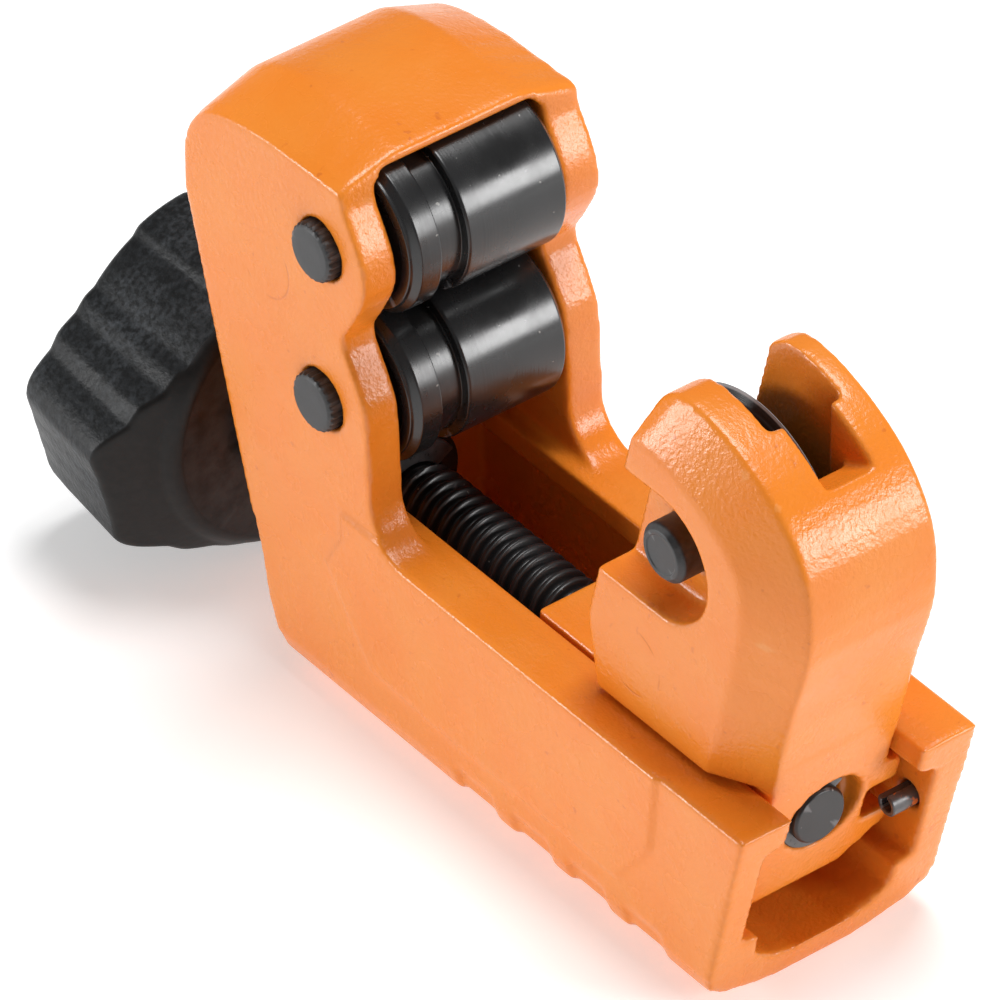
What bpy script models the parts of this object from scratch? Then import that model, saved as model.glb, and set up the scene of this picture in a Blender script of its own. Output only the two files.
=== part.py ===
"""Small screw-feed pipe cutter, modelled as an assembly of its separate pieces.

X runs along the feed screw, from the knob at -X to the open front end at +X.
Y runs across the body, along the rollers, the cutting wheel's axle and the tube.
Z is up. The origin lies on the flat underside, straight below the roller axes.
All sizes below are in millimetres and are turned into metres on the way in.
"""
import math

import bmesh
import bpy
from mathutils import Matrix, Vector

MM = 0.001
SEGMENTS = 48
OUTER_RING_Y = 14.0         # the frame is drawn wider than it is, then trimmed to its section

# Channel: the lower, long half of the frame casting
HALF_WIDTH = 11.5
CHANNEL_TOP = 20.0
FRONT_X = 50.8
FRONT_LEAN = 0.243          # how far the front end recedes per mm of depth
LIP_THICKNESS = 3.1
SLOT_HALF = 6.3
CAVITY_HALF = 8.2
CAVITY_STEP_Z = 6.5
LOWER_CAVITY_HALF = 6.6
CAVITY_BACK_X = -4.8
FLOOR_FLAT_HALF = 4.1

# Post: the upright half of the frame casting, which holds the rollers
POST_TOP = 52.7
POST_TOP_HALF = 5.75
SIDE_DRAFT = 0.1            # how much the sides draw in from the channel to above the post
REAR_FOOT_X = -8.1
REAR_LEAN = 0.290
POCKET_HALF = 7.9
POCKET_BACK_X = -7.9
POCKET_TOP = 51.75

# Grip grooves under the channel
GROOVE_PITCH = 6.8
FIRST_GROOVE_X = 18.5
GROOVE_COUNT = 4
GROOVE_WIDTH = 4.5
GROOVE_DEPTH = 0.4

# Rollers and their pins
ROLLER_RADIUS = 6.95
ROLLER_NEAR_Y = -7.55
ROLLER_FAR_Y = 7.45
ROLLER_GROOVE = (-4.8, -2.25)
ROLLER_GROOVE_RADIUS = 6.2
UPPER_ROLLER_Z = 44.6
LOWER_ROLLER_Z = 30.3
PIN_RADIUS = 2.5
PIN_PROUD = 0.8
RUNNING_GAP = 0.1

# Feed screw, 1/4 inch with 20 threads to the inch
SCREW_Z = 14.05
THREAD_RADIUS = 3.175
THREAD_ROOT = 2.5
THREAD_PITCH = 1.27
THREAD_START_X = -2.6
THREAD_END_X = 44.8
SCREW_END_X = 46.5
REAR_BOSS_RADIUS = 7.0
REAR_BOSS_X = -15.4
KNOB_FACE_X = -16.7
COUNTERBORE_X = 44.6

# Slider
SLIDER_HALF = 8.5
SLIDER_FRONT_HALF = 6.0
SLIDER_REAR_X = 19.8
SLIDER_BASE_HALF = 7.4
SLIDER_NECK_HALF = 5.9
SLIDER_CLEARANCE = 0.35
WHEEL_X = 37.3
WHEEL_Y = 0.7
WHEEL_Z = 37.5
WHEEL_RADIUS = 10.1
HUB_RADIUS = 4.7
HUB_HALF = 2.95
WIDE_SLOT_HALF = 3.45
NARROW_SLOT_HALF = 2.2
SLOT_STEP_X = 42.8
RECESS_RADIUS = 5.46
RECESS_DEPTH = 3.45

# Slide stop pin
STOP_PIN_X = 46.8
STOP_PIN_Z = 12.2
STOP_PIN_RADIUS = 1.0
STOP_PIN_BORE = 0.6
STOP_GROOVE_BACK_X = 42.3

# Knob
KNOB_BACK_X = -31.4
KNOB_RIM_X = -20.7
KNOB_RING_X = -17.9
KNOB_RING_RADIUS = 13.6
KNOB_FACE_RADIUS = 11.9
KNOB_SCALE_AT_RIM = 1.063
KNOB_LOBE_RADIUS = 17.8
KNOB_TURN = math.radians(194)

COLOURS = {
    "orange_coat": ((0.86, 0.27, 0.035, 1.0), 0.42, 0.0),
    "black_oxide": ((0.018, 0.018, 0.020, 1.0), 0.32, 0.9),
    "pin_steel": ((0.045, 0.048, 0.050, 1.0), 0.5, 0.8),
    "wheel_steel": ((0.05, 0.05, 0.05, 1.0), 0.28, 1.0),
    "spring_steel": ((0.03, 0.03, 0.032, 1.0), 0.35, 0.9),
    "black_plastic": ((0.024, 0.025, 0.027, 1.0), 0.55, 0.0),
}


def clear_scene():
    for item in list(bpy.data.objects):
        bpy.data.objects.remove(item, do_unlink=True)


def make_collection(name):
    collection = bpy.data.collections.new(name)
    bpy.context.scene.collection.children.link(collection)
    return collection


def make_material(name):
    colour, roughness, metallic = COLOURS[name]
    material = bpy.data.materials.new(name)
    material.use_nodes = True
    shader = material.node_tree.nodes["Principled BSDF"]
    shader.inputs["Base Color"].default_value = colour
    shader.inputs["Roughness"].default_value = roughness
    shader.inputs["Metallic"].default_value = metallic
    return material


def add_object(name, mesh, collection, origin=(0, 0, 0)):
    """Link a mesh drawn in world millimetres, with its origin moved to a joint axis."""
    item = bpy.data.objects.new(name, mesh)
    shift = Vector(origin) * MM
    mesh.transform(Matrix.Translation(-shift))
    item.location = shift
    collection.objects.link(item)
    return item


def outline_mesh(name, points, axis, low, high):
    """Extrude a flat outline along X or Y. Points are (x, z) for Y and (y, z) for X."""
    curve = bpy.data.curves.new(name, "CURVE")
    curve.dimensions = "2D"
    curve.fill_mode = "BOTH"
    curve.extrude = (high - low) / 2 * MM
    spline = curve.splines.new("POLY")
    spline.points.add(len(points) - 1)
    spline.use_cyclic_u = True
    for spot, (across, up) in zip(spline.points, points):
        spot.co = (across * MM, up * MM, 0, 1)
    holder = bpy.data.objects.new(name, curve)
    bpy.context.scene.collection.objects.link(holder)
    if axis == "Y":
        turn = Matrix.Rotation(math.radians(90), 4, "X")
        middle = Vector((0, (low + high) / 2 * MM, 0))
    else:
        turn = Matrix(((0, 0, 1, 0), (1, 0, 0, 0), (0, 1, 0, 0), (0, 0, 0, 1)))
        middle = Vector(((low + high) / 2 * MM, 0, 0))
    depsgraph = bpy.context.evaluated_depsgraph_get()
    mesh = bpy.data.meshes.new_from_object(holder.evaluated_get(depsgraph))
    mesh.transform(Matrix.Translation(middle) @ turn)
    bpy.data.objects.remove(holder, do_unlink=True)
    weld(mesh)
    return mesh


def weld(mesh):
    shape = bmesh.new()
    shape.from_mesh(mesh)
    bmesh.ops.remove_doubles(shape, verts=shape.verts, dist=0.000005)
    bmesh.ops.recalc_face_normals(shape, faces=shape.faces)
    shape.to_mesh(mesh)
    shape.free()


def cylinder_mesh(name, radius, axis, low, high, centre, segments=SEGMENTS):
    """A cylinder along X or Y. centre holds the other two coordinates, in X, Y, Z order."""
    shape = bmesh.new()
    bmesh.ops.create_cone(shape, cap_ends=True, segments=segments,
                          radius1=radius * MM, radius2=radius * MM, depth=(high - low) * MM)
    if axis == "X":
        turn = Matrix.Rotation(math.radians(90), 4, "Y")
        middle = Vector(((low + high) / 2, centre[0], centre[1])) * MM
    else:
        turn = Matrix.Rotation(math.radians(90), 4, "X")
        middle = Vector((centre[0], (low + high) / 2, centre[1])) * MM
    bmesh.ops.transform(shape, matrix=Matrix.Translation(middle) @ turn, verts=shape.verts)
    mesh = bpy.data.meshes.new(name)
    shape.to_mesh(mesh)
    shape.free()
    return mesh


def turned_object(name, profile, axis, centre, collection, segments=SEGMENTS):
    """Turn a closed profile of (radius, station) points about an X or Y axis.

    The stations run along the axis, and the outer side is listed from high to low.
    The object's origin lies on the axis.
    """
    mesh = bpy.data.meshes.new(name)
    verts = [(radius * MM, 0, station * MM) for radius, station in profile]
    edges = [(i, i + 1) for i in range(len(profile) - 1)]
    if profile[0][0] > 0 and profile[-1][0] > 0:
        edges.append((len(profile) - 1, 0))
    mesh.from_pydata(verts, edges, [])
    item = bpy.data.objects.new(name, mesh)
    if axis == "X":
        item.rotation_euler = (0, math.radians(90), 0)
        item.location = Vector((0, centre[0], centre[1])) * MM
    else:
        item.rotation_euler = (math.radians(-90), 0, 0)
        item.location = Vector((centre[0], 0, centre[1])) * MM
    collection.objects.link(item)
    screw = item.modifiers.new("turn", "SCREW")
    screw.axis = "Z"
    screw.steps = segments
    screw.render_steps = segments
    screw.use_merge_vertices = True
    screw.merge_threshold = 0.000001
    return item


def add_boolean(item, cutter, operation="DIFFERENCE"):
    modifier = item.modifiers.new(cutter.name, "BOOLEAN")
    modifier.object = cutter
    modifier.operation = operation
    modifier.solver = "EXACT"
    weld_modifier = item.modifiers.new("weld", "WELD")
    weld_modifier.merge_threshold = 0.000005


def make_cutter(name, mesh, cutters):
    cutter = add_object(name, mesh, cutters)
    cutter.hide_render = True
    cutter.display_type = "WIRE"
    return cutter


def mirrored_outline(right_half):
    """Close a (y, z) outline from its +Y half, listed from top to bottom."""
    left_half = [(-across, up) for across, up in reversed(right_half)]
    return right_half + left_half


def arc(centre, radius, start, end, steps):
    """Points on a circle, from one angle to another in degrees."""
    spots = []
    for i in range(steps + 1):
        angle = math.radians(start + (end - start) * i / steps)
        spots.append((centre[0] + radius * math.cos(angle),
                      centre[1] + radius * math.sin(angle)))
    return spots


def smooth_run(points, steps):
    """A smooth curve through open points, with extra points between each two of them."""
    ends = [points[0]] + points + [points[-1]]
    run = []
    for before, start, end, after in zip(ends, ends[1:], ends[2:], ends[3:]):
        for i in range(steps):
            t = i / steps
            spot = []
            for a, b, c, d in zip(before, start, end, after):
                bend = (2 * a - 5 * b + 4 * c - d) * t * t + (3 * b - a - 3 * c + d) * t ** 3
                spot.append((2 * b + (c - a) * t + bend) / 2)
            run.append(tuple(spot))
    return run + [points[-1]]


def rear_x(up):
    return REAR_FOOT_X - REAR_LEAN * (up - 10.2)


def crown_outlines():
    """The crown of the post as matching (x, z) runs, from rear to front.

    The first run is the ridge beside the flat top, the second the lower edge of the
    slanting facet that leads down to the post's side.
    """
    ridge = [(-17.1, 44.8), (-16.8, 47.2), (-15.9, 49.4), (-14.2, 51.2), (-11.8, 52.4),
             (-9.0, 53.1), (-6.0, 53.35), (-2.6, 53.15), (2.5, POST_TOP)]
    facet = [(-17.0, 43.8), (-16.6, 45.8), (-15.8, 47.4), (-14.4, 48.9), (-12.2, 49.9),
             (-9.6, 50.5), (-6.6, 50.9), (-2.6, 51.1), (2.6, 51.2)]
    ridge, facet = smooth_run(ridge, 2), smooth_run(facet, 2)
    return ridge, facet


def frame_side_outlines():
    """The frame from the side, as matching (x, z) rings at its ridge and past its sides."""
    ridge, facet = crown_outlines()
    reach = (OUTER_RING_Y - POST_TOP_HALF) / (HALF_WIDTH - POST_TOP_HALF)
    outer = [(a[0] + (b[0] - a[0]) * reach, a[1] + (b[1] - a[1]) * reach)
             for a, b in zip(ridge, facet)]
    rear = [(-4.9, 0.0), (-6.15, 3.2), (-7.4, 6.4), (REAR_FOOT_X, 10.2), (rear_x(40.5), 40.5)]
    front = smooth_run([(3.1, 49.5), (4.9, 46.5), (5.5, 44.3), (5.0, 41.8), (2.7, 37.7)], 2)
    front += smooth_run([(3.0, 36.5), (5.3, 32.6), (5.75, 29.8), (6.05, 25.0)], 2)
    fillet = arc((10.2, 24.2), 4.2, 185, 270, 6)
    nose = [(FRONT_X, CHANNEL_TOP), (FRONT_X - FRONT_LEAN * CHANNEL_TOP, 0.0)]
    return rear + ridge + front + fillet + nose, rear + outer + front + fillet + nose


def frame_side_mesh():
    ridge, outer = frame_side_outlines()
    rings = [[(x, -OUTER_RING_Y, z) for x, z in outer], [(x, -POST_TOP_HALF, z) for x, z in ridge],
             [(x, POST_TOP_HALF, z) for x, z in ridge], [(x, OUTER_RING_Y, z) for x, z in outer]]
    return loft_mesh("frame_body", rings)


def frame_front_outline():
    """The frame from the front, as (y, z) points: drafted sides and a rounded underside."""
    right = [(HALF_WIDTH - SIDE_DRAFT, 58.0), (HALF_WIDTH, CHANNEL_TOP), (11.25, 3.9),
             (10.8, 2.45), (9.1, 1.25), (6.4, 0.38), (FLOOR_FLAT_HALF, 0.0)]
    return mirrored_outline(right)


def cavity_outline():
    lip_under = CHANNEL_TOP - LIP_THICKNESS
    right = [(SLOT_HALF, CHANNEL_TOP + 0.5), (SLOT_HALF, lip_under + 0.7),
             (SLOT_HALF + 0.7, lip_under),
             (CAVITY_HALF, lip_under - 0.2), (CAVITY_HALF, CAVITY_STEP_Z + 0.2),
             (LOWER_CAVITY_HALF, CAVITY_STEP_Z), (6.3, 4.2), (4.6, 3.0), (2.2, 2.4)]
    return mirrored_outline(right)


def pocket_outline():
    right = [(7.0, POCKET_TOP), (POCKET_HALF, 50.9), (POCKET_HALF, CHANNEL_TOP - 0.12)]
    return mirrored_outline(right)


def groove_outline():
    """A U under the channel: the band between its skin and the floor of a grip groove."""
    inner = [(11.3, 4.9), (10.85, 4.0), (10.42, 2.75), (8.9, 1.65), (6.3, 0.8),
             (FLOOR_FLAT_HALF, GROOVE_DEPTH)]
    right = [(14.0, 5.3), (14.0, -3.0)]
    ring = right + [(-across, up) for across, up in reversed(right)]
    return ring + [(-across, up) for across, up in inner] + list(reversed(inner))


def build_frame(parts, cutters):
    frame = add_object("frame_body", frame_side_mesh(), parts)
    section = outline_mesh("frame_section", frame_front_outline(), "X", -40.0, 60.0)
    add_boolean(frame, make_cutter("frame_section", section, cutters), "INTERSECT")
    boss = cylinder_mesh("rear_boss", REAR_BOSS_RADIUS, "X", REAR_BOSS_X, CAVITY_BACK_X - 1.5,
                         (0, SCREW_Z))
    add_boolean(frame, make_cutter("rear_boss", boss, cutters), "UNION")
    cavity = outline_mesh("channel_cavity", cavity_outline(), "X", CAVITY_BACK_X, 60.0)
    add_boolean(frame, make_cutter("channel_cavity", cavity, cutters))
    pocket = outline_mesh("roller_pocket", pocket_outline(), "X", POCKET_BACK_X, 60.0)
    add_boolean(frame, make_cutter("roller_pocket", pocket, cutters))
    screw_hole = cylinder_mesh("screw_hole", THREAD_RADIUS + RUNNING_GAP, "X", -20.0, 0.0,
                               (0, SCREW_Z), 36)
    add_boolean(frame, make_cutter("screw_hole", screw_hole, cutters))
    for name, height in (("upper_pin_hole", UPPER_ROLLER_Z), ("lower_pin_hole", LOWER_ROLLER_Z)):
        hole = cylinder_mesh(name, PIN_RADIUS + RUNNING_GAP, "Y", -14.0, 14.0, (0, height))
        add_boolean(frame, make_cutter(name, hole, cutters))
    stop_hole = cylinder_mesh("stop_pin_hole", STOP_PIN_RADIUS + RUNNING_GAP, "Y", 6.0, 14.0,
                              (STOP_PIN_X, STOP_PIN_Z), 24)
    add_boolean(frame, make_cutter("stop_pin_hole", stop_hole, cutters))
    for i in range(GROOVE_COUNT):
        middle = FIRST_GROOVE_X + i * GROOVE_PITCH
        name = f"grip_groove_{i + 1}"
        groove = outline_mesh(name, groove_outline(), "X", middle - GROOVE_WIDTH / 2,
                              middle + GROOVE_WIDTH / 2)
        add_boolean(frame, make_cutter(name, groove, cutters))
    return frame


def build_roller(name, height, parts):
    radius, chamfer = ROLLER_RADIUS, 0.6
    bore = PIN_RADIUS + RUNNING_GAP
    near, far = ROLLER_NEAR_Y, ROLLER_FAR_Y
    start, end = ROLLER_GROOVE
    profile = [(bore, far), (radius - chamfer, far), (radius, far - chamfer), (radius, end),
               (ROLLER_GROOVE_RADIUS, end - 0.1), (ROLLER_GROOVE_RADIUS, start + 0.1),
               (radius, start), (radius, near + chamfer), (radius - chamfer, near), (bore, near)]
    return turned_object(name, profile, "Y", (0, height), parts)


def build_pin(name, height, parts):
    end, chamfer = HALF_WIDTH + PIN_PROUD, 0.4
    profile = [(0, end), (PIN_RADIUS - chamfer, end), (PIN_RADIUS, end - chamfer),
               (PIN_RADIUS, chamfer - end), (PIN_RADIUS - chamfer, -end), (0, -end)]
    return turned_object(name, profile, "Y", (0, height), parts)


def build_stop_pin(parts):
    """A rolled spring pin: a split tube pressed into the far wall."""
    outer, inner = STOP_PIN_RADIUS, STOP_PIN_BORE
    split = 35
    ring = arc((0, 0), outer, split, 360 - split, 16) + arc((0, 0), inner, 360 - split, split, 16)
    ring = [(STOP_PIN_X - up, STOP_PIN_Z + across) for across, up in ring]
    mesh = outline_mesh("slide_stop_pin", ring, "Y", 6.0, HALF_WIDTH - 0.35)
    return add_object("slide_stop_pin", mesh, parts, (STOP_PIN_X, 0, STOP_PIN_Z))


def slider_sections():
    """Matching (x, z) outlines: the front ridge of the slider, and its side faces."""
    step = SLIDER_CLEARANCE + CHANNEL_TOP
    back = [(30.1, step), (29.0, 25.8), (29.0, 27.1)]
    ridge = smooth_run([(34.4, 49.5), (36.4, 50.9), (39.5, 50.85), (42.3, 50.1), (44.9, 49.0),
                        (47.4, 47.5), (49.5, 45.4), (51.2, 42.6), (51.9, 39.3), (51.7, 35.0),
                        (50.1, 29.5)], 2)
    flank = smooth_run([(33.7, 46.2), (35.7, 46.6), (38.5, 46.0), (40.7, 45.2), (42.7, 44.2),
                        (44.4, 43.0), (45.6, 41.8), (46.4, 40.5), (46.7, 38.4), (46.5, 35.5),
                        (45.4, 29.8)], 2)
    ridge = back + ridge + [(48.2, 21.6), (47.8, step)]
    flank = back + flank + [(43.4, 22.0), (43.0, step)]
    return ridge, flank


def loft_mesh(name, rings):
    """Skin a row of closed rings with equal counts of world points, and cap both ends."""
    shape = bmesh.new()
    rows = [[shape.verts.new(Vector(spot) * MM) for spot in ring] for ring in rings]
    count = len(rows[0])
    for low, high in zip(rows, rows[1:]):
        for i in range(count):
            j = (i + 1) % count
            shape.faces.new((low[i], low[j], high[j], high[i]))
    shape.faces.new(rows[0])
    shape.faces.new(rows[-1])
    bmesh.ops.recalc_face_normals(shape, faces=shape.faces)
    mesh = bpy.data.meshes.new(name)
    shape.to_mesh(mesh)
    shape.free()
    return mesh


def slider_head_mesh():
    ridge, flank = slider_sections()
    rings = [[(x, -SLIDER_HALF, z) for x, z in flank], [(x, -SLIDER_FRONT_HALF, z) for x, z in ridge],
             [(x, SLIDER_FRONT_HALF, z) for x, z in ridge], [(x, SLIDER_HALF, z) for x, z in flank]]
    return loft_mesh("slider_block", rings)


def slider_base_outline():
    """The slider's foot across the channel, as (y, z) points."""
    foot = CAVITY_STEP_Z + 0.3
    wing = CHANNEL_TOP - LIP_THICKNESS - 0.4
    return [(SLIDER_NECK_HALF, CHANNEL_TOP + 2.5), (SLIDER_NECK_HALF, wing + 0.4),
            (SLIDER_BASE_HALF, wing), (SLIDER_BASE_HALF, 9.4), (3.2, foot), (-6.2, foot),
            (-SLIDER_BASE_HALF, 8.0), (-SLIDER_BASE_HALF, wing),
            (-SLIDER_NECK_HALF, wing + 0.4), (-SLIDER_NECK_HALF, CHANNEL_TOP + 2.5)]


def slider_base_side():
    """The slider's foot from the side: its front leans like the end of the channel."""
    top = CHANNEL_TOP + 2.5
    front = 47.9
    return [(SLIDER_REAR_X, 0.0), (SLIDER_REAR_X, CHANNEL_TOP), (27.0, CHANNEL_TOP), (30.4, top),
            (front + FRONT_LEAN * 2.5, top), (front - FRONT_LEAN * CHANNEL_TOP, 0.0)]


def wheel_slot_outline():
    """The gap between the ears: round below the axle, open above it and to the back."""
    reach = WHEEL_RADIUS + 0.8
    bottom = WHEEL_Z - reach
    return ([(20.0, bottom)] + arc((WHEEL_X, WHEEL_Z), reach, -90, 46, 14)
            + [(48.2, 46.9), (48.2, 60.0), (20.0, 60.0)])


def recess_outline():
    """A hook-shaped opening around the axle, open to the back."""
    top = WHEEL_Z + RECESS_RADIUS
    bottom = WHEEL_Z - RECESS_RADIUS
    return [(20.0, bottom)] + arc((WHEEL_X, WHEEL_Z), RECESS_RADIUS, -90, 90, 16) + [(20.0, top)]


def build_slider(parts, cutters):
    slider = add_object("slider_block", slider_head_mesh(), parts)
    base = make_cutter("slider_base", outline_mesh("slider_base", slider_base_side(), "Y", -9.0, 9.0),
                       cutters)
    section = outline_mesh("slider_section", slider_base_outline(), "X", 0.0, 60.0)
    add_boolean(base, make_cutter("slider_section", section, cutters), "INTERSECT")
    add_boolean(slider, base, "UNION")
    wide, narrow = WIDE_SLOT_HALF, NARROW_SLOT_HALF
    wide_slot = outline_mesh("wide_slot", wheel_slot_outline(), "Y", WHEEL_Y - wide, WHEEL_Y + wide)
    wide_cutter = make_cutter("wide_slot", wide_slot, cutters)
    keep = [(SLOT_STEP_X, 10.0), (SLOT_STEP_X, 70.0), (70.0, 70.0), (70.0, 10.0)]
    keep_block = outline_mesh("slot_step", keep, "Y", -14.0, 14.0)
    add_boolean(wide_cutter, make_cutter("slot_step", keep_block, cutters))
    add_boolean(slider, wide_cutter)
    narrow_slot = outline_mesh("narrow_slot", wheel_slot_outline(), "Y", WHEEL_Y - narrow,
                               WHEEL_Y + narrow)
    add_boolean(slider, make_cutter("narrow_slot", narrow_slot, cutters))
    for name, low in (("near_recess", -SLIDER_HALF - 2), ("far_recess", SLIDER_HALF - RECESS_DEPTH)):
        recess = outline_mesh(name, recess_outline(), "Y", low, low + RECESS_DEPTH + 2)
        add_boolean(slider, make_cutter(name, recess, cutters))
    axle_hole = cylinder_mesh("axle_hole", PIN_RADIUS + RUNNING_GAP, "Y", -14.0, 14.0,
                              (WHEEL_X, WHEEL_Z))
    add_boolean(slider, make_cutter("axle_hole", axle_hole, cutters))
    thread_hole = cylinder_mesh("thread_hole", THREAD_RADIUS + RUNNING_GAP, "X", 10.0, 60.0,
                                (0, SCREW_Z), 36)
    add_boolean(slider, make_cutter("thread_hole", thread_hole, cutters))
    counterbore = cylinder_mesh("counterbore", 3.6, "X", COUNTERBORE_X, 60.0, (0.35, SCREW_Z + 0.2))
    add_boolean(slider, make_cutter("counterbore", counterbore, cutters))
    low, high = STOP_PIN_Z - STOP_PIN_RADIUS - 0.4, STOP_PIN_Z + STOP_PIN_RADIUS + 1.0
    groove = [(STOP_GROOVE_BACK_X, low), (STOP_GROOVE_BACK_X, high), (60.0, high), (60.0, low)]
    groove_mesh = outline_mesh("stop_groove", groove, "Y", 4.6, 10.0)
    add_boolean(slider, make_cutter("stop_groove", groove_mesh, cutters))
    return slider


def build_axle(parts):
    end, chamfer = SLIDER_HALF - 0.2, 0.5
    profile = [(0, end), (PIN_RADIUS - chamfer, end), (PIN_RADIUS, end - chamfer),
               (PIN_RADIUS, chamfer - end), (PIN_RADIUS - chamfer, -end), (0, -end)]
    return turned_object("wheel_axle", profile, "Y", (WHEEL_X, WHEEL_Z), parts)


def build_wheel(parts):
    bore = PIN_RADIUS + RUNNING_GAP
    half = [(bore, HUB_HALF), (HUB_RADIUS - 0.4, HUB_HALF), (HUB_RADIUS, HUB_HALF - 0.4),
            (HUB_RADIUS, 1.1), (8.2, 0.75), (WHEEL_RADIUS, 0.04)]
    profile = [(radius, WHEEL_Y + offset) for radius, offset in half]
    profile += [(radius, WHEEL_Y - offset) for radius, offset in reversed(half)]
    return turned_object("cutter_wheel", profile, "Y", (WHEEL_X, WHEEL_Z), parts, 64)


def build_feed_screw(parts):
    """Shank in the knob, journal in the frame, rolled thread, then a grooved plain end."""
    root, crest = THREAD_ROOT, THREAD_RADIUS
    flat = THREAD_PITCH * 0.3
    profile = [(0, -28.2), (2.7, -28.2), (3.0, -27.9), (3.0, -5.3), (3.0, -3.6), (2.4, -3.6),
               (2.4, -2.7), (root, THREAD_START_X)]
    turns = int((THREAD_END_X - THREAD_START_X) / THREAD_PITCH)
    for i in range(turns):
        start = THREAD_START_X + i * THREAD_PITCH
        profile.append((root, start + 0.12))
        profile.append((crest, start + (THREAD_PITCH - flat) / 2))
        profile.append((crest, start + (THREAD_PITCH + flat) / 2))
    profile += [(root, THREAD_END_X - 0.1), (2.0, 45.0), (2.0, 45.7), (2.47, 45.7),
                (2.47, SCREW_END_X - 0.15), (2.32, SCREW_END_X), (0, SCREW_END_X)]
    profile.reverse()
    return turned_object("feed_screw", profile, "X", (0, SCREW_Z), parts, 32)


def build_ring(name, inner, outer, low, high, parts):
    profile = [(inner, high), (outer, high), (outer, low), (inner, low)]
    return turned_object(name, profile, "X", (0, SCREW_Z), parts)


def build_clip(name, inner, outer, low, high, parts):
    """A retaining clip: a flat ring with an open mouth, snapped into a groove."""
    mouth = 32
    ring = arc((0, SCREW_Z), outer, mouth, 360 - mouth, 24)
    ring += arc((0, SCREW_Z), inner, 360 - mouth - 8, mouth + 8, 24)
    mesh = outline_mesh(name, ring, "X", low, high)
    return add_object(name, mesh, parts, ((low + high) / 2, 0, SCREW_Z))


def knob_radius_table():
    """Radius of the knob's outline against the angle from a lobe's middle, in degrees."""
    return [(0, 16.2), (8, 16.35), (15, 16.8), (18, 16.6), (21, 16.1), (27, 14.65), (33, 14.3),
            (40, 13.1), (47, 12.85), (51, 12.35), (64, 12.25), (75, 12.2), (79, 12.65),
            (90, 12.65)]


def knob_outline(scale, ceiling=None):
    """One closed ring of (y, z) offsets: a quarter outline, mirrored into two lobes."""
    table = knob_radius_table()
    quarter = [(angle, radius * scale) for angle, radius in table]
    half = quarter + [(180 - angle, radius) for angle, radius in reversed(quarter[:-1])]
    full = half + [(180 + angle, radius) for angle, radius in half[1:-1]]
    ring = []
    for angle, radius in full:
        if ceiling is not None:
            radius = min(radius, ceiling)
        turn = math.radians(angle) + KNOB_TURN
        ring.append((radius * math.cos(turn), SCREW_Z + radius * math.sin(turn)))
    return ring


def build_knob(parts, cutters):
    slope = (KNOB_LOBE_RADIUS - KNOB_RING_RADIUS) / (KNOB_RING_X - KNOB_RIM_X)
    stations = [(KNOB_BACK_X, 0.955, None), (KNOB_BACK_X + 0.3, 0.985, None),
                (KNOB_BACK_X + 1.0, 1.0, None), (KNOB_RIM_X, KNOB_SCALE_AT_RIM, KNOB_LOBE_RADIUS)]
    for share in (0.25, 0.5, 0.75, 1.0):
        x = KNOB_RIM_X + (KNOB_RING_X - KNOB_RIM_X) * share
        ceiling = KNOB_RING_RADIUS + slope * (KNOB_RING_X - x)
        stations.append((x, KNOB_SCALE_AT_RIM, ceiling))
    stations += [(KNOB_FACE_X - 0.4, KNOB_SCALE_AT_RIM, 12.6),
                 (KNOB_FACE_X, KNOB_SCALE_AT_RIM, KNOB_FACE_RADIUS)]
    rings = []
    for x, scale, ceiling in stations:
        rings.append([(x, y, z) for y, z in knob_outline(scale, ceiling)])
    knob = add_object("knob", loft_mesh("knob", rings), parts, (KNOB_FACE_X, 0, SCREW_Z))
    bore = cylinder_mesh("knob_bore", 3.3, "X", -28.5, 0.0, (0, SCREW_Z), 40)
    add_boolean(knob, make_cutter("knob_bore", bore, cutters))
    return knob


def build_all():
    clear_scene()
    parts = make_collection("pipe_cutter")
    cutters = make_collection("cutters")
    materials = {name: make_material(name) for name in COLOURS}
    pieces = [
        (build_frame(parts, cutters), "orange_coat"),
        (build_slider(parts, cutters), "orange_coat"),
        (build_roller("roller_upper", UPPER_ROLLER_Z, parts), "black_oxide"),
        (build_roller("roller_lower", LOWER_ROLLER_Z, parts), "black_oxide"),
        (build_pin("roller_pin_upper", UPPER_ROLLER_Z, parts), "pin_steel"),
        (build_pin("roller_pin_lower", LOWER_ROLLER_Z, parts), "pin_steel"),
        (build_stop_pin(parts), "spring_steel"),
        (build_wheel(parts), "wheel_steel"),
        (build_axle(parts), "pin_steel"),
        (build_feed_screw(parts), "black_oxide"),
        (build_knob(parts, cutters), "black_plastic"),
        (build_ring("knob_thrust_washer", 3.3, 6.4, -16.4, -15.7, parts), "pin_steel"),
        (build_ring("inner_thrust_washer", 3.3, 5.0, -4.5, -3.7, parts), "pin_steel"),
        (build_clip("frame_retaining_clip", 2.5, 4.6, -3.5, -2.8, parts), "spring_steel"),
        (build_clip("screw_end_clip", 2.1, 3.0, 45.1, 45.6, parts), "spring_steel"),
    ]
    for item, material in pieces:
        item.data.materials.append(materials[material])
        item.data.shade_smooth()
        item.data.set_sharp_from_angle(angle=math.radians(30))


build_all()
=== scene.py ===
"""Looks for the small screw-feed pipe cutter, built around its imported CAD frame."""
import math

import bmesh
import bpy
import numpy as np
from mathutils import Matrix, Vector


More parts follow.
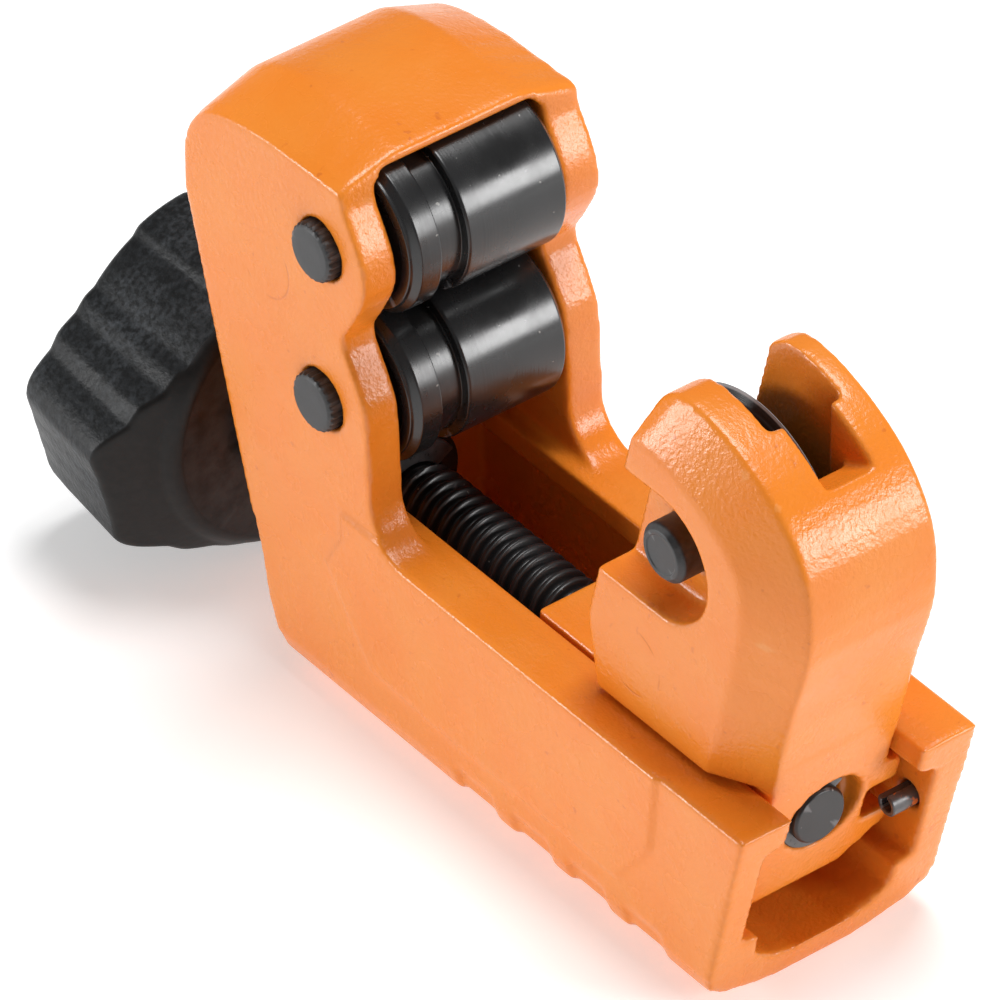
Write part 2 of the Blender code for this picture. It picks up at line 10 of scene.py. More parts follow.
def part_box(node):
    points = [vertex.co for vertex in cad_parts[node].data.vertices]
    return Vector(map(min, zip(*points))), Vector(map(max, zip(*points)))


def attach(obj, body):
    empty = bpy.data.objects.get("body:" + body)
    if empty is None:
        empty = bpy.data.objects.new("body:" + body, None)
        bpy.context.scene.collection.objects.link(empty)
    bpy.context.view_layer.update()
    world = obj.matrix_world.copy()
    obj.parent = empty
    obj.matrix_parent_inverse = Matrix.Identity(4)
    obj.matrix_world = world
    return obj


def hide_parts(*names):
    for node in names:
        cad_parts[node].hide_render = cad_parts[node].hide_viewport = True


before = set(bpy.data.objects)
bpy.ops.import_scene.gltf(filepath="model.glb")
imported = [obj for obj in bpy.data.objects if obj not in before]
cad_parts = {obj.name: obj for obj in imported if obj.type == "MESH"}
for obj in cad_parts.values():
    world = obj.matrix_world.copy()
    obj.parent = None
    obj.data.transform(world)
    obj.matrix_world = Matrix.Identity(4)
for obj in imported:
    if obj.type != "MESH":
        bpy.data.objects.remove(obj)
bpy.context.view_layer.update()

MM = 0.001


def middle_of(node):
    """Centre of a CAD node's box, in mm to the nearest hundredth."""
    low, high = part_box(node)
    return [round(value / MM, 2) for value in (low + high) / 2]


# Places taken from the CAD. Everything below is in mm, unless MM turns it into metres.
SCREW_Z = middle_of("feed_screw")[2]
UPPER_Z = middle_of("roller_upper")[2]
LOWER_Z = middle_of("roller_lower")[2]
WHEEL_X, WHEEL_Y, WHEEL_Z = middle_of("cutter_wheel")
WHEEL = (WHEEL_X, WHEEL_Z)

# The knob, from its back to the flat face next to the frame.
KNOB_BACK_X = round(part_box("knob")[0].x / MM, 1)
KNOB_FACE_X = round(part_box("knob")[1].x / MM, 1)
LOBE_RADIUS = round(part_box("knob")[1].y / MM, 1)
RIM_X = -20.7
RING_X = -17.9
RING_RADIUS = 13.55
KNOB_FLARE = 1.06
KNOB_TURN_DEG = 194
FACE_LEAN = (RING_X - RIM_X) / (LOBE_RADIUS - RING_RADIUS)
FACE_START = (RING_X - KNOB_FACE_X + FACE_LEAN * RING_RADIUS - 0.35) * MM

# The feed screw's thread: 20 turns per inch.
PITCH = 1.27
THREAD_ROOT = 2.46
THREAD_HEIGHT = 0.69

PIN_RADIUS = 2.45
PIN_END_Y = 12.28
PANEL_STEP = 0.27

LOOKS = bpy.data.collections.new("looks")
bpy.context.scene.collection.children.link(LOOKS)


# ---------------------------------------------------------------- camera
def aim(item, place, target, roll=0.0):
    """Put a camera or a lamp at a place and turn it to a target."""
    item.location = place
    look = (Vector(target) - Vector(place)).to_track_quat("-Z", "Y").to_matrix().to_4x4()
    item.rotation_euler = (look @ Matrix.Rotation(roll, 4, "Z")).to_euler()


def make_camera():
    """A long lens that looks down at the near side from beyond the open front end."""
    data = bpy.data.cameras.new("camera")
    data.lens = 414.3
    data.sensor_width = 36.0
    data.clip_start = 0.01
    data.clip_end = 20.0
    camera = bpy.data.objects.new("camera", data)
    bpy.context.scene.collection.objects.link(camera)
    aim(camera, (0.54441, -0.42332, 0.57143), (0.18775, -0.14197, 0.20484), math.radians(0.057))
    bpy.context.scene.camera = camera


# ---------------------------------------------------------------- light and floor
def area_light(name, place, target, size, power):
    """A white softbox; its size is in metres and its power in watts."""
    data = bpy.data.lights.new(name, "AREA")
    data.shape = "RECTANGLE"
    data.size, data.size_y = size
    data.energy = power
    lamp = bpy.data.objects.new(name, data)
    bpy.context.scene.collection.objects.link(lamp)
    aim(lamp, place, target)


def make_lights():
    """A dim white sky and three softboxes."""
    bpy.context.scene.view_settings.view_transform = "Standard"
    world = bpy.data.worlds.new("studio")
    world.use_nodes = True
    sky = world.node_tree.nodes["Background"]
    sky.inputs["Color"].default_value = (1.0, 1.0, 1.0, 1.0)
    sky.inputs["Strength"].default_value = 0.20
    bpy.context.scene.world = world
    middle = (0.015, 0, 0.03)
    area_light("key_left", (-0.32, -0.48, 0.12), middle, (0.20, 0.14), 1.6)
    area_light("key_right", (0.52, 0.32, 0.20), middle, (0.16, 0.22), 1.8)
    area_light("top", (-0.02, 0.10, 0.60), middle, (0.28, 0.28), 2.75)


def make_floor():
    """A pale matte floor that glows a little, so that the shadows stay light."""
    mesh = bpy.data.meshes.new("floor")
    shape = bmesh.new()
    bmesh.ops.create_grid(shape, x_segments=1, y_segments=1, size=3.0)
    shape.to_mesh(mesh)
    shape.free()
    floor = bpy.data.objects.new("floor", mesh)
    bpy.context.scene.collection.objects.link(floor)
    material = bpy.data.materials.new("floor")
    material.use_nodes = True
    shader = material.node_tree.nodes["Principled BSDF"]
    shader.inputs["Base Color"].default_value = (0.92, 0.92, 0.92, 1)
    shader.inputs["Roughness"].default_value = 0.95
    shader.inputs["Emission Color"].default_value = (1, 1, 1, 1)
    shader.inputs["Emission Strength"].default_value = 0.36
    mesh.materials.append(material)


# ---------------------------------------------------------------- materials
class Paint:
    """A procedural material, put together from a few small steps."""

    def __init__(self, name, colour, roughness, metallic=0.0):
        self.material = bpy.data.materials.new(name)
        self.material.use_nodes = True
        self.nodes = self.material.node_tree.nodes
        self.links = self.material.node_tree.links
        self.shader = self.nodes["Principled BSDF"]
        self.place = self.nodes.new("ShaderNodeTexCoord").outputs["Object"]
        self.set("Base Color", (*colour, 1))
        self.set("Roughness", roughness)
        self.set("Metallic", metallic)

    def set(self, socket, value):
        """A constant on a shader socket."""
        self.shader.inputs[socket].default_value = value

    def feed(self, socket, source):
        """A node's output into a shader socket."""
        self.links.new(source, self.shader.inputs[socket])

    def plug(self, socket, value):
        """A node's output, a colour or a number into a node's input."""
        if isinstance(value, bpy.types.NodeSocket):
            self.links.new(value, socket)
        elif isinstance(value, tuple) and len(value) == 3 and socket.type == "RGBA":
            socket.default_value = (*value, 1)
        else:
            socket.default_value = value

    def noise(self, scale, detail=3.0, roughness=0.5, stretch=(1, 1, 1)):
        mapping = self.nodes.new("ShaderNodeMapping")
        mapping.inputs["Scale"].default_value = stretch
        self.links.new(self.place, mapping.inputs["Vector"])
        texture = self.nodes.new("ShaderNodeTexNoise")
        texture.inputs["Scale"].default_value = scale
        texture.inputs["Detail"].default_value = detail
        texture.inputs["Roughness"].default_value = roughness
        self.links.new(mapping.outputs["Vector"], texture.inputs["Vector"])
        return texture.outputs["Fac"]

    def span(self, source, low, high, to_low=0.0, to_high=1.0):
        """The source's range low..high stretched to to_low..to_high and held there."""
        node = self.nodes.new("ShaderNodeMapRange")
        self.plug(node.inputs["Value"], source)
        node.inputs["From Min"].default_value = low
        node.inputs["From Max"].default_value = high
        node.inputs["To Min"].default_value = to_low
        node.inputs["To Max"].default_value = to_high
        return node.outputs["Result"]

    def maths(self, kind, first, second=0.0):
        node = self.nodes.new("ShaderNodeMath")
        node.operation = kind
        self.plug(node.inputs[0], first)
        self.plug(node.inputs[1], second)
        return node.outputs["Value"]

    def mix(self, factor, first, second):
        node = self.nodes.new("ShaderNodeMix")
        node.data_type = "RGBA"
        self.plug(node.inputs[0], factor)
        self.plug(node.inputs[6], first)
        self.plug(node.inputs[7], second)
        return node.outputs[2]

    def axes(self):
        """The x, y and z outputs of the place, in metres from the piece's origin."""
        node = self.nodes.new("ShaderNodeSeparateXYZ")
        self.links.new(self.place, node.inputs[0])
        return node.outputs

    def edges(self, low, high):
        """How convex the surface is here, from 0 on a flat to 1 on a worn edge."""
        node = self.nodes.new("ShaderNodeNewGeometry")
        return self.span(node.outputs["Pointiness"], low, high)

    def bump(self, height, strength, distance):
        node = self.nodes.new("ShaderNodeBump")
        node.inputs["Strength"].default_value = strength
        node.inputs["Distance"].default_value = distance
        self.plug(node.inputs["Height"], height)
        self.feed("Normal", node.outputs["Normal"])

    def ring_mark(self, centre, radius, width):
        """1 on a thin broken circle on the side that faces -Y, as an ejector pin leaves it."""
        x, y, z = self.axes()
        across = self.maths("SUBTRACT", x, centre[0] * MM)
        along = self.maths("SUBTRACT", z, centre[1] * MM)
        reach = self.maths("SQRT", self.maths("ADD", self.maths("MULTIPLY", across, across),
                                              self.maths("MULTIPLY", along, along)))
        off = self.maths("ABSOLUTE", self.maths("SUBTRACT", reach, radius * MM))
        ring = self.span(off, 0.0, width * MM, 1.0, 0.0)
        side = self.span(y, -0.0070, -0.0078)
        broken = self.span(self.noise(330, 2), 0.44, 0.52)
        return self.maths("MULTIPLY", self.maths("MULTIPLY", ring, side), broken)


def powder_coat(name, mark):
    """Orange powder coat with a slight orange peel, a few specks and one ejector mark."""
    paint = Paint(name, (0.86, 0.26, 0.036), 0.36)
    paint.set("Specular IOR Level", 0.5)
    blotch = paint.noise(140, 4)
    base = paint.mix(paint.span(blotch, 0.35, 0.65), (0.83, 0.222, 0.016), (0.83, 0.248, 0.026))
    speck = paint.span(paint.noise(900, 2), 0.70, 0.76)
    base = paint.mix(paint.maths("MULTIPLY", speck, 0.45), base, (0.55, 0.11, 0.015))
    # Pale orange on convex edges: partly wear, partly a painted highlight along the edges.
    worn = paint.maths("MULTIPLY", paint.edges(0.53, 0.62), paint.span(paint.noise(420, 3), 0.42, 0.62))
    base = paint.mix(paint.maths("MULTIPLY", worn, 0.2), base, (0.93, 0.52, 0.22))
    mark_ring = paint.ring_mark(*mark)
    base = paint.mix(paint.maths("MULTIPLY", mark_ring, 0.45), base, (0.50, 0.10, 0.012))
    paint.feed("Base Color", base)
    paint.feed("Roughness", paint.span(paint.noise(260, 3), 0.3, 0.7, 0.22, 0.31))
    peel = paint.noise(1600, 3, 0.55)
    fine = paint.noise(3200, 2)
    height = paint.maths("ADD", peel, paint.maths("MULTIPLY", fine, 0.45))
    height = paint.maths("SUBTRACT", height, paint.maths("MULTIPLY", mark_ring, 0.5))
    paint.bump(height, 0.36, 0.00012)
    return paint.material


def black_oxide(name, lines, rough=0.24):
    """Polished blackened steel with dust specks, fine scratches and turning lines.

    lines holds the scale of the turning lines and how they stretch along each axis.
    """
    paint = Paint(name, (0.016, 0.016, 0.017), rough)
    paint.set("Specular IOR Level", 0.60)
    dust = paint.span(paint.noise(1500, 2), 0.735, 0.77)
    haze = paint.span(paint.noise(160, 4), 0.35, 0.7)
    base = paint.mix(haze, (0.007, 0.007, 0.007), (0.016, 0.016, 0.017))
    base = paint.mix(paint.maths("MULTIPLY", dust, 0.65), base, (0.34, 0.33, 0.31))
    edge = paint.edges(0.54, 0.66)
    base = paint.mix(paint.maths("MULTIPLY", edge, 0.35), base, (0.30, 0.30, 0.31))
    paint.feed("Base Color", base)
    paint.feed("Roughness", paint.span(paint.noise(220, 4, 0.6), 0.3, 0.7, rough - 0.05, rough + 0.09))
    turned_lines = paint.noise(lines[0], 2, 0.5, lines[1])
    scratch = paint.noise(500, 4, 0.6)
    height = paint.maths("ADD", turned_lines, paint.maths("MULTIPLY", scratch, 0.4))
    paint.bump(height, 0.16, 0.00005)
    return paint.material


def dark_pin(name):
    """Dark pin steel with a fine grain, worn at its edges."""
    paint = Paint(name, (0.020, 0.021, 0.022), 0.5)
    paint.set("Specular IOR Level", 0.55)
    grain = paint.noise(1300, 4, 0.6)
    base = paint.mix(paint.span(grain, 0.35, 0.7), (0.012, 0.012, 0.013), (0.045, 0.046, 0.048))
    worn = paint.maths("MULTIPLY", paint.edges(0.54, 0.64), paint.span(paint.noise(700, 3), 0.38, 0.6))
    base = paint.mix(paint.maths("MULTIPLY", worn, 0.55), base, (0.22, 0.22, 0.23))
    paint.feed("Base Color", base)
    paint.feed("Roughness", paint.span(grain, 0.3, 0.7, 0.36, 0.6))
    paint.bump(grain, 0.35, 0.00005)
    return paint.material


def wheel_steel(name):
    """Blackened tool steel with fine rings left by grinding around the Y axis."""
    paint = Paint(name, (0.02, 0.02, 0.021), 0.3)
    paint.set("Specular IOR Level", 0.16)
    x, y, z = paint.axes()
    reach = paint.maths("SQRT", paint.maths("ADD", paint.maths("MULTIPLY", x, x),
                                            paint.maths("MULTIPLY", z, z)))
    rings = paint.maths("SINE", paint.maths("MULTIPLY", reach, 52000.0))
    wide = paint.maths("SINE", paint.maths("MULTIPLY", reach, 15000.0))
    line = paint.maths("ADD", rings, wide)
    # A thin pale band just inside the cutting edge: a painted highlight.
    edge_highlight = paint.span(reach, 0.00985, 0.00995)
    base = paint.mix(paint.span(line, -2.0, 2.0), (0.006, 0.006, 0.006), (0.016, 0.016, 0.017))
    base = paint.mix(paint.maths("MULTIPLY", edge_highlight, 0.8), base, (0.30, 0.30, 0.31))
    paint.feed("Base Color", base)
    paint.feed("Roughness", paint.span(paint.noise(300, 3), 0.3, 0.7, 0.24, 0.36))
    paint.bump(line, 0.10, 0.00002)
    return paint.material


def spring_steel(name, coat_from=None):
    """Blackened spring steel; coat_from is the share of orange overspray on it."""
    paint = Paint(name, (0.02, 0.02, 0.021), 0.32)
    paint.set("Specular IOR Level", 0.8)
    grain = paint.noise(1600, 4)
    base = paint.mix(paint.span(grain, 0.35, 0.7), (0.010, 0.010, 0.011), (0.05, 0.05, 0.052))
    base = paint.mix(paint.maths("MULTIPLY", paint.edges(0.54, 0.62), 0.4), base, (0.3, 0.3, 0.3))
    if coat_from is not None:
        spray = paint.span(paint.noise(700, 4, 0.6), coat_from, coat_from + 0.03)
        base = paint.mix(spray, base, (0.62, 0.15, 0.03))
    paint.feed("Base Color", base)
    paint.feed("Roughness", paint.span(grain, 0.3, 0.7, 0.24, 0.42))
    paint.bump(grain, 0.2, 0.00004)
    return paint.material


def moulded_plastic(name):
    """Black plastic: scuffed on the wings' flanks, smooth and darker on the flared ring, its darkness
    partly painted shade where it faces the frame.
    """
    paint = Paint(name, (0.02, 0.021, 0.022), 0.5)
    paint.set("Specular IOR Level", 0.26)
    x, y, z = paint.axes()
    reach = paint.maths("SQRT", paint.maths("ADD", paint.maths("MULTIPLY", y, y),
                                            paint.maths("MULTIPLY", z, z)))
    face = paint.span(paint.maths("ADD", x, paint.maths("MULTIPLY", reach, FACE_LEAN)),
                      FACE_START, FACE_START + 0.0002)
    face = paint.maths("MAXIMUM", face, paint.span(x, -0.0006, -0.0003))
    scuff = paint.span(paint.noise(1800, 3, 0.6), 0.40, 0.72)
    cloud = paint.span(paint.noise(170, 4), 0.32, 0.68)
    texture = paint.maths("MULTIPLY", scuff, cloud)
    flank = paint.mix(texture, (0.005, 0.0055, 0.006), (0.046, 0.051, 0.057))
    # The front's near-black is partly the smooth plastic, partly painted shade between the knob and the
    # frame.
    front = paint.mix(paint.span(paint.noise(1200, 3), 0.35, 0.7), (0.005, 0.0044, 0.0041),
                      (0.009, 0.0080, 0.0074))
    base = paint.mix(face, flank, front)
    # Pale lines on the wings' edges: partly wear, partly a painted highlight along the rims.
    worn = paint.maths("MULTIPLY", paint.edges(0.53, 0.60),
                       paint.span(paint.noise(420, 4, 0.6), 0.36, 0.6))
    base = paint.mix(paint.maths("MULTIPLY", worn, 0.6), base, (0.20, 0.22, 0.24))
    paint.feed("Base Color", base)
    rough = paint.maths("ADD", paint.span(cloud, 0.0, 1.0, 0.40, 0.54),
                        paint.maths("MULTIPLY", face, -0.08))
    paint.feed("Roughness", rough)
    grain = paint.maths("MULTIPLY", paint.noise(1900, 3, 0.55), paint.span(face, 0, 1, 1.0, 0.15))
    paint.bump(grain, 0.6, 0.00012)
    return paint.material


# ---------------------------------------------------------------- geometry helpers
def finish_mesh(name, shape, material, body, nodes, centre, angle=38):
    """Turn a bmesh in world millimetres into a piece that rides a body of the CAD."""
    bmesh.ops.recalc_face_normals(shape, faces=shape.faces)
    mesh = bpy.data.meshes.new(name)
    shape.to_mesh(mesh)
    shape.free()
    mesh.transform(Matrix.Translation(-Vector(centre)))
    mesh.transform(Matrix.Scale(MM, 4))
    mesh.shade_smooth()
    mesh.set_sharp_from_angle(angle=math.radians(angle))
    mesh.materials.append(material)
    item = bpy.data.objects.new(name, mesh)
    item.location = Vector(centre) * MM
    LOOKS.objects.link(item)
    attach(item, body)
    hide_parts(*nodes)
    return item


def skin(rings, closed=False):
    """Quads between rings of equal counts of points: a closed loop, or a run with end caps."""
    shape = bmesh.new()
    rows = [[shape.verts.new(spot) for spot in ring] for ring in rings]
    count = len(rows[0])
    pairs = list(zip(rows, rows[1:]))
    if closed:
        pairs.append((rows[-1], rows[0]))
    for low, high in pairs:
        for i in range(count):
            j = (i + 1) % count
            shape.faces.new((low[i], low[j], high[j], high[i]))
    if not closed:
        shape.faces.new(rows[0])
        shape.faces.new(rows[-1])
    return shape


def soften(profile, size):
    """Round each corner of an open (radius, station) profile, with a point held on each side."""
    result = [profile[0]]
    for before, corner, after in zip(profile, profile[1:], profile[2:]):
        here = Vector(corner)
        back = Vector(before) - here
        ahead = Vector(after) - here
        cut = min(size, back.length * 0.3, ahead.length * 0.3)
        start = here + back.normalized() * cut
        end = here + ahead.normalized() * cut
        hold = here + back.normalized() * cut * 1.4
        result.append((hold.x, hold.y))
        for t in (0.0, 0.33, 0.67, 1.0):
            spot = start * (1 - t) ** 2 + here * 2 * t * (1 - t) + end * t * t
            result.append((spot.x, spot.y))
        hold = here + ahead.normalized() * cut * 1.4
        result.append((hold.x, hold.y))
    result.append(profile[-1])
    return result


def turned(name, profile, axis, centre, material, body, nodes, segments=144, closed=False):
    """A (radius, station) profile turned around an axis along Y or X."""
    rings = []
    for radius, station in profile:
        ring = []
        for k in range(segments):
            angle = 2 * math.pi * k / segments
            a, b = radius * math.cos(angle), radius * math.sin(angle)
            if axis == "Y":
                ring.append((centre[0] + a, station, centre[1] + b))
            else:
                ring.append((station, centre[0] + a, centre[1] + b))
        rings.append(ring)
    origin = (centre[0], 0, centre[1]) if axis == "Y" else (0, centre[0], centre[1])
    return finish_mesh(name, skin(rings, closed=closed), material, body, nodes, origin)


def split_ring(name, axis, centre, radii, stations, gap, lean, material, body, nodes):
    """A ring with an open mouth: a spring pin along Y or a retaining clip along X."""
    inner, outer = radii
    low, high = stations
    soft = min(outer - inner, high - low) * 0.22
    section = [(outer, low + soft), (outer, high - soft), (outer - soft, high), (inner + soft, high),
               (inner, high - soft), (inner, low + soft), (inner + soft, low), (outer - soft, low)]
    rings = []
    steps = 72
    for k in range(steps + 1):
        angle = math.radians(lean + gap + (360 - 2 * gap) * k / steps)
        ring = []
        for radius, station in section:
            a, b = radius * math.cos(angle), radius * math.sin(angle)
            if axis == "Y":
                ring.append((centre[0] + a, station, centre[1] + b))
            else:
                ring.append((station, centre[0] + a, centre[1] + b))
        rings.append(ring)
    origin = (centre[0], 0, centre[1]) if axis == "Y" else (0, centre[0], centre[1])
    return finish_mesh(name, skin(rings), material, body, nodes, origin)


# ---------------------------------------------------------------- cast pieces
# Outline of the raised panel on the near side, in X and Z.
PANEL = [(2.6, 21.0), (2.6, 18.3), (0.6, 14.9), (5.9, 7.5), (15.1, 7.1), (36.0, 6.9),
         (40.1, 12.4), (41.0, 21.0)]


def panel_distance(x, z):
    """Signed distance in mm from the edge of the raised panel, negative inside it."""
    best = np.full(x.shape, 1e9)
    inside = np.zeros(x.shape, bool)
    for (ax, az), (bx, bz) in zip(PANEL, PANEL[1:] + PANEL[:1]):
        dx, dz = bx - ax, bz - az
        t = np.clip(((x - ax) * dx + (z - az) * dz) / (dx * dx + dz * dz), 0, 1)
        best = np.minimum(best, np.hypot(x - ax - t * dx, z - az - t * dz))
        crosses = (az > z) != (bz > z)
        with np.errstate(divide="ignore", invalid="ignore"):
            where = ax + (z - az) * dx / (dz if dz else 1e-9)
        inside ^= crosses & (x < where)
    return np.where(inside, -best, best)


def apply_modifiers(item):
    """Put the result of an object's modifiers in place of its mesh."""
    graph = bpy.context.evaluated_depsgraph_get()
    mesh = bpy.data.meshes.new_from_object(item.evaluated_get(graph))
    item.modifiers.clear()
    item.data = mesh
    return mesh


def cast_piece(name, node, material, body, voxel, shape_side=None, passes=7, keep=0.5):
    """A cast copy of a CAD node: fine voxels smoothed to rounded edges, then thinned."""
    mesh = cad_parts[node].data.copy()
    item = bpy.data.objects.new(name, mesh)
    LOOKS.objects.link(item)
    remesh = item.modifiers.new("remesh", "REMESH")
    remesh.mode = "VOXEL"
    remesh.voxel_size = voxel * MM
    smooth = item.modifiers.new("smooth", "SMOOTH")
    smooth.factor = 0.5
    smooth.iterations = passes
    cast = apply_modifiers(item)
    if shape_side is not None:
        spots = np.empty(len(cast.vertices) * 3, np.float32)
        cast.vertices.foreach_get("co", spots)
        spots = spots.reshape(-1, 3)
        shape_side(spots)
        cast.vertices.foreach_set("co", spots.ravel())
        cast.update()
    thin = item.modifiers.new("thin", "DECIMATE")
    thin.ratio = keep
    final = apply_modifiers(item)
    final.materials.clear()
    final.materials.append(material)
    final.shade_smooth()
    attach(item, body)
    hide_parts(node)
    return item


def shape_frame_side(spots):
    """Sink the near side around its raised panel by a small step."""
    x, y, z = (spots[:, i] / MM for i in range(3))
    outward = np.clip((-10.3 - y) / 0.5, 0, 1)
    away = np.clip(panel_distance(x, z) / 0.5 + 0.5, 0, 1)
    sink = away * away * (3 - 2 * away) * outward * PANEL_STEP
    spots[:, 1] += sink * MM


# ---------------------------------------------------------------- turned and moulded pieces
def make_rollers(material):
    """Two rollers, each with a groove towards its near end that clears a flared tube."""
    outer = soften([(2.6, 7.45), (6.35, 7.45), (6.95, 6.95), (6.95, -2.1), (6.85, -2.3), (6.1, -2.35),
                    (6.1, -4.75), (6.95, -4.85), (6.95, -6.75), (6.4, -7.2), (6.35, -7.5),
                    (5.4, -7.5), (5.2, -7.3), (2.6, -7.3)], 0.09)
    for name, node, body, height in (("upper_roller_body", "roller_upper", "upper_roller", UPPER_Z),
                                     ("lower_roller_body", "roller_lower", "lower_roller", LOWER_Z)):
        turned(name, outer, "Y", (0, height), material, body, [node], 160, closed=True)


def make_roller_pins(material):
    """Two pressed pins, ribbed where they stand out of the near side."""
    for name, node, height in (("upper_roller_pin", "roller_pin_upper", UPPER_Z),
                               ("lower_roller_pin", "roller_pin_lower", LOWER_Z)):
        rings = []
        segments = 192
        steps_per_rib = 8
        stations = [(-12.12, 1.2, 0.0), (-12.12, 2.02, 0.0),
                    (-12.10, 2.10, 0.0), (-12.05, 2.18, 0.0), (-11.96, 2.28, 0.08),
                    (-11.8, 2.33, 0.15), (-11.3, 2.35, 0.15), (-9.6, 2.35, 0.15),
                    (-9.3, PIN_RADIUS, 0.0), (9.3, PIN_RADIUS, 0.0), (11.9, PIN_RADIUS, 0.0),
                    (12.2, 2.3, 0.0), (PIN_END_Y, 2.05, 0.0)]
        for station, radius, rib in stations:
            ring = []
            for k in range(segments):
                angle = 2 * math.pi * k / segments
                wave = abs(((k / steps_per_rib) % 1.0) * 2 - 1)
                reach = radius + rib * wave
                ring.append((reach * math.cos(angle), station, height + reach * math.sin(angle)))
            rings.append(ring)
        finish_mesh(name, skin(rings), material, "frame", [node], (0, 0, height), 30)


def make_axle(material):
    """The wheel's axle, with a shallow step in its near end."""
    profile = soften([(1.2, 8.28), (2.0, 8.28), (2.48, 7.85), (2.48, -7.85),
                      (2.0, -8.28), (1.7, -8.28), (1.6, -8.2), (1.1, -8.2)], 0.14)
    turned("axle", profile, "Y", WHEEL, material, "slider", ["wheel_axle"], 96)


def make_wheel(material):
    """The cutting wheel: a hub on each side and a bevel that ends in a thin edge."""
    half = [(2.6, 2.95), (4.3, 2.95), (4.7, 2.55), (4.7, 1.12), (8.55, 0.78), (8.8, 0.66),
            (9.25, 0.50), (9.35, 0.40), (10.09, 0.03)]
    side = soften(half, 0.10)
    profile = [(radius, WHEEL_Y + offset) for radius, offset in side]
    profile += [(radius, WHEEL_Y - offset) for radius, offset in reversed(side)]
    turned("wheel", profile, "Y", WHEEL, material, "wheel", ["cutter_wheel"], 200, closed=True)


def make_feed_screw(material):
    """A right-hand rolled thread with rounded crests, on a shank with a grooved end."""
    plain = [(2.0, -28.15), (2.7, -28.15), (2.97, -27.9), (2.97, -5.3), (2.97, -3.7), (2.42, -3.6),
             (2.42, -2.75)]
    segments = 64
    rows = [(station, radius, 0.0) for radius, station in plain]
    start, end = -2.6, 44.7
    count = int((end - start) / (PITCH / 12))
    for i in range(count + 1):
        station = start + (end - start) * i / count
        fade = min(1.0, (station - start) / 1.2, (end - station) / 0.9)
        rows.append((station, THREAD_ROOT, fade))
    rows += [(station, radius, 0.0) for radius, station in
             soften([(2.4, 44.8), (2.0, 44.95), (2.0, 45.7), (2.45, 45.72), (2.45, 46.2),
                     (2.24, 46.46), (1.3, 46.46)], 0.08)]
    rings = []
    for station, radius, depth in rows:
        ring = []
        for k in range(segments):
            angle = 2 * math.pi * k / segments
            phase = (station / PITCH - k / segments) % 1.0
            lift = np.clip(1.45 - 2.9 * abs(phase - 0.5) * 1.25, 0, 1)
            lift = lift * lift * (3 - 2 * lift)
            reach = radius + depth * THREAD_HEIGHT * lift
            ring.append((station, reach * math.cos(angle), SCREW_Z + reach * math.sin(angle)))
        rings.append(ring)
    finish_mesh("screw_shaft", skin(rings), material, "screw", ["feed_screw"], (0, 0, SCREW_Z), 60)


def lobe_radius(angle):
    """Radius of the knob's outline at an angle in degrees from the middle of a lobe."""
    table = [(0, 16.2), (8, 16.35), (15, 16.8), (18, 16.6), (21, 16.1), (27, 14.65), (33, 14.3),
             (40, 13.1), (47, 12.85), (51, 12.35), (64, 12.25), (75, 12.2), (79, 12.65),
             (90, 12.65)]
    angle = abs((angle + 90) % 180 - 90)
    spots = np.array([spot for spot, _ in table], float)
    sizes = np.array([size for _, size in table], float)
    near = np.array([angle - 1.2, angle, angle + 1.2])
    near = np.abs(near)
    near = np.where(near > 90, 180 - near, near)
    return float(np.interp(near, spots, sizes) @ (0.25, 0.5, 0.25))


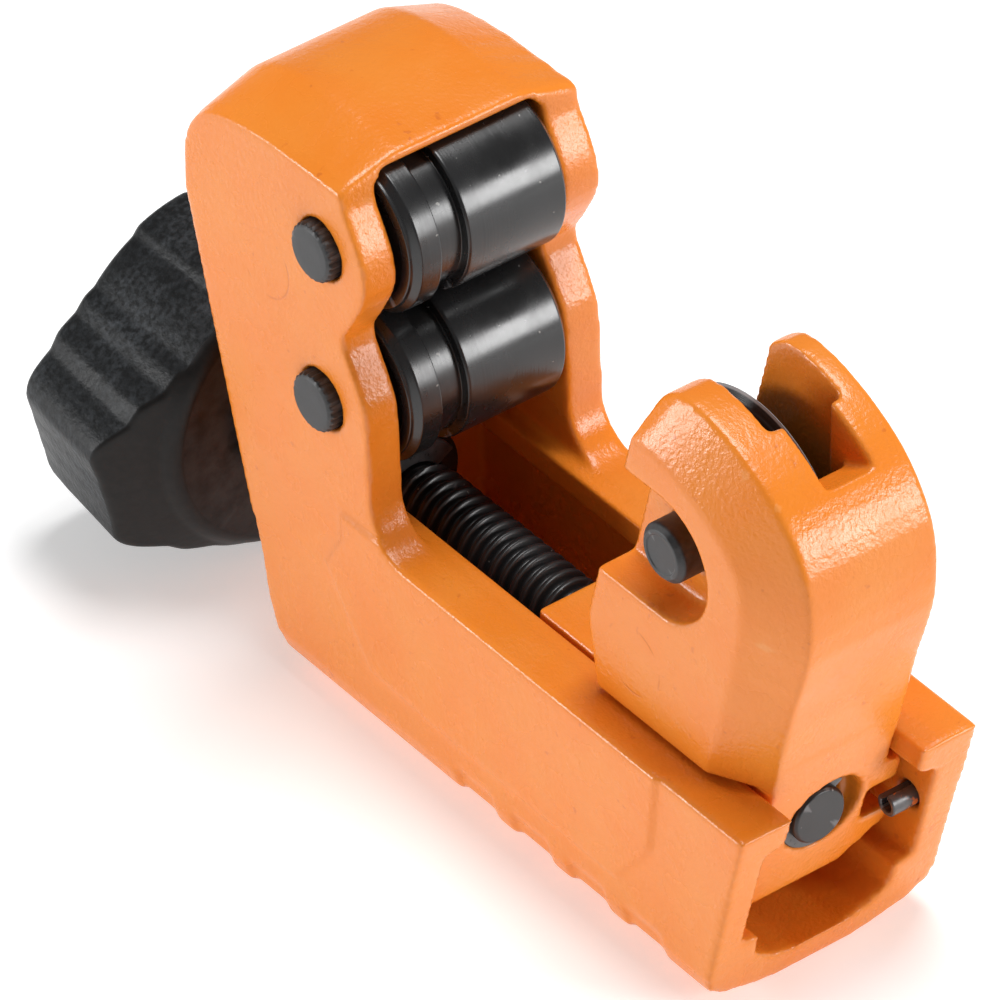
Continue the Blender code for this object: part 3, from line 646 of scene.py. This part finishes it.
def make_knob(material):
    """Wings that flare towards the frame and end under a leaning cone, with a flat ring in front."""
    turn = math.radians(KNOB_TURN_DEG)
    segments = 360
    radii = [lobe_radius(360 * k / segments) for k in range(segments)]
    rows = [(KNOB_BACK_X + 0.02, 0.940, 99.0), (KNOB_BACK_X + 0.08, 0.958, 99.0),
            (KNOB_BACK_X + 0.25, 0.975, 99.0), (KNOB_BACK_X + 0.6, 0.992, 99.0),
            (KNOB_BACK_X + 1.2, 1.002, 99.0), (-28.0, 1.020, 99.0), (-24.5, 1.040, 99.0)]
    slope = (LOBE_RADIUS - RING_RADIUS) / (RING_X - RIM_X)
    for i in range(34):
        x = RIM_X - 0.5 + (RING_X - RIM_X + 0.5) * i / 33
        rows.append((x, KNOB_FLARE, RING_RADIUS + slope * (RING_X - x)))
    rows += [(RING_X + 0.12, 1.07, RING_RADIUS - 0.18), (RING_X + 0.35, 1.07, 13.15),
             (RING_X + 0.75, 1.07, 12.75), (RING_X + 0.92, 1.07, 12.5),
             (KNOB_FACE_X - 0.10, 1.07, 12.15), (KNOB_FACE_X - 0.02, 1.07, 11.8)]
    rings = []
    for x, scale, ceiling in rows:
        ring = []
        for k, base in enumerate(radii):
            wide = base * scale
            over = max(0.0, 1 - abs(wide - ceiling) / 0.5)
            reach = min(wide, ceiling) - 0.12 * over * over
            angle = 2 * math.pi * k / segments + turn
            ring.append((x, reach * math.cos(angle), SCREW_Z + reach * math.sin(angle)))
        rings.append(ring)
    for x, reach in ((KNOB_FACE_X - 0.02, 3.3), (-28.4, 3.3)):
        rings.append([(x, reach * math.cos(2 * math.pi * k / segments + turn),
                       SCREW_Z + reach * math.sin(2 * math.pi * k / segments + turn))
                      for k in range(segments)])
    finish_mesh("knob_body", skin(rings), material, "screw", ["knob"], (KNOB_FACE_X, 0, SCREW_Z), 32)


def make_clips(material):
    """Open retaining rings: one in the screw's end groove, one behind the frame's rear wall."""
    for name, node, radii, stations in (
            ("end_clip", "screw_end_clip", (2.08, 3.3), (45.08, 45.6)),
            ("wall_clip", "frame_retaining_clip", (2.5, 4.5), (-3.45, -2.85))):
        split_ring(name, "X", (0, SCREW_Z), radii, stations, 32, 0, material, "screw", [node])


def make_stop_pin(material):
    """A rolled pin with its slot turned up, set in the far wall of the channel."""
    split_ring("stop_pin", "Y", (46.8, 12.2), (0.58, 0.98), (6.05, 11.1), 38, 118, material,
               "frame", ["slide_stop_pin"])


def make_washers(material):
    """Thrust washers on both sides of the frame's rear wall."""
    bore = 3.3
    for name, node, edge, low, high in (
            ("outer_washer", "knob_thrust_washer", 6.4, -16.38, -15.72),
            ("inner_washer", "inner_thrust_washer", 5.0, -4.45, -3.75)):
        profile = soften([(bore, low), (edge, low), (edge, high), (bore, high)], 0.12)
        turned(name, profile, "X", (0, SCREW_Z), material, "screw", [node], 96, closed=True)


# ---------------------------------------------------------------- the scene
make_camera()
make_lights()
make_floor()
FRAME_COAT = powder_coat("orange_coat_frame", ((-6.7, 39.2), 2.9, 0.14))
SLIDER_COAT = powder_coat("orange_coat_slider", ((34.5, 25.8), 3.1, 0.14))
OXIDE = black_oxide("black_oxide_rollers", (60, (1, 90, 1)))
THREAD = black_oxide("black_oxide_screw", (300, (1, 1, 1)), 0.34)
PIN = dark_pin("dark_pins")
SPRING = spring_steel("spring_steel")
OVERSPRAY = spring_steel("spring_steel_overspray", 0.60)
cast_piece("frame_casting", "frame_body", FRAME_COAT, "frame", 0.30, shape_frame_side)
cast_piece("slider_casting", "slider_block", SLIDER_COAT, "slider", 0.26)
make_rollers(OXIDE)
make_roller_pins(PIN)
make_axle(PIN)
make_wheel(wheel_steel("ground_wheel"))
make_feed_screw(THREAD)
make_knob(moulded_plastic("moulded_plastic"))
make_clips(SPRING)
make_stop_pin(OVERSPRAY)
make_washers(PIN)
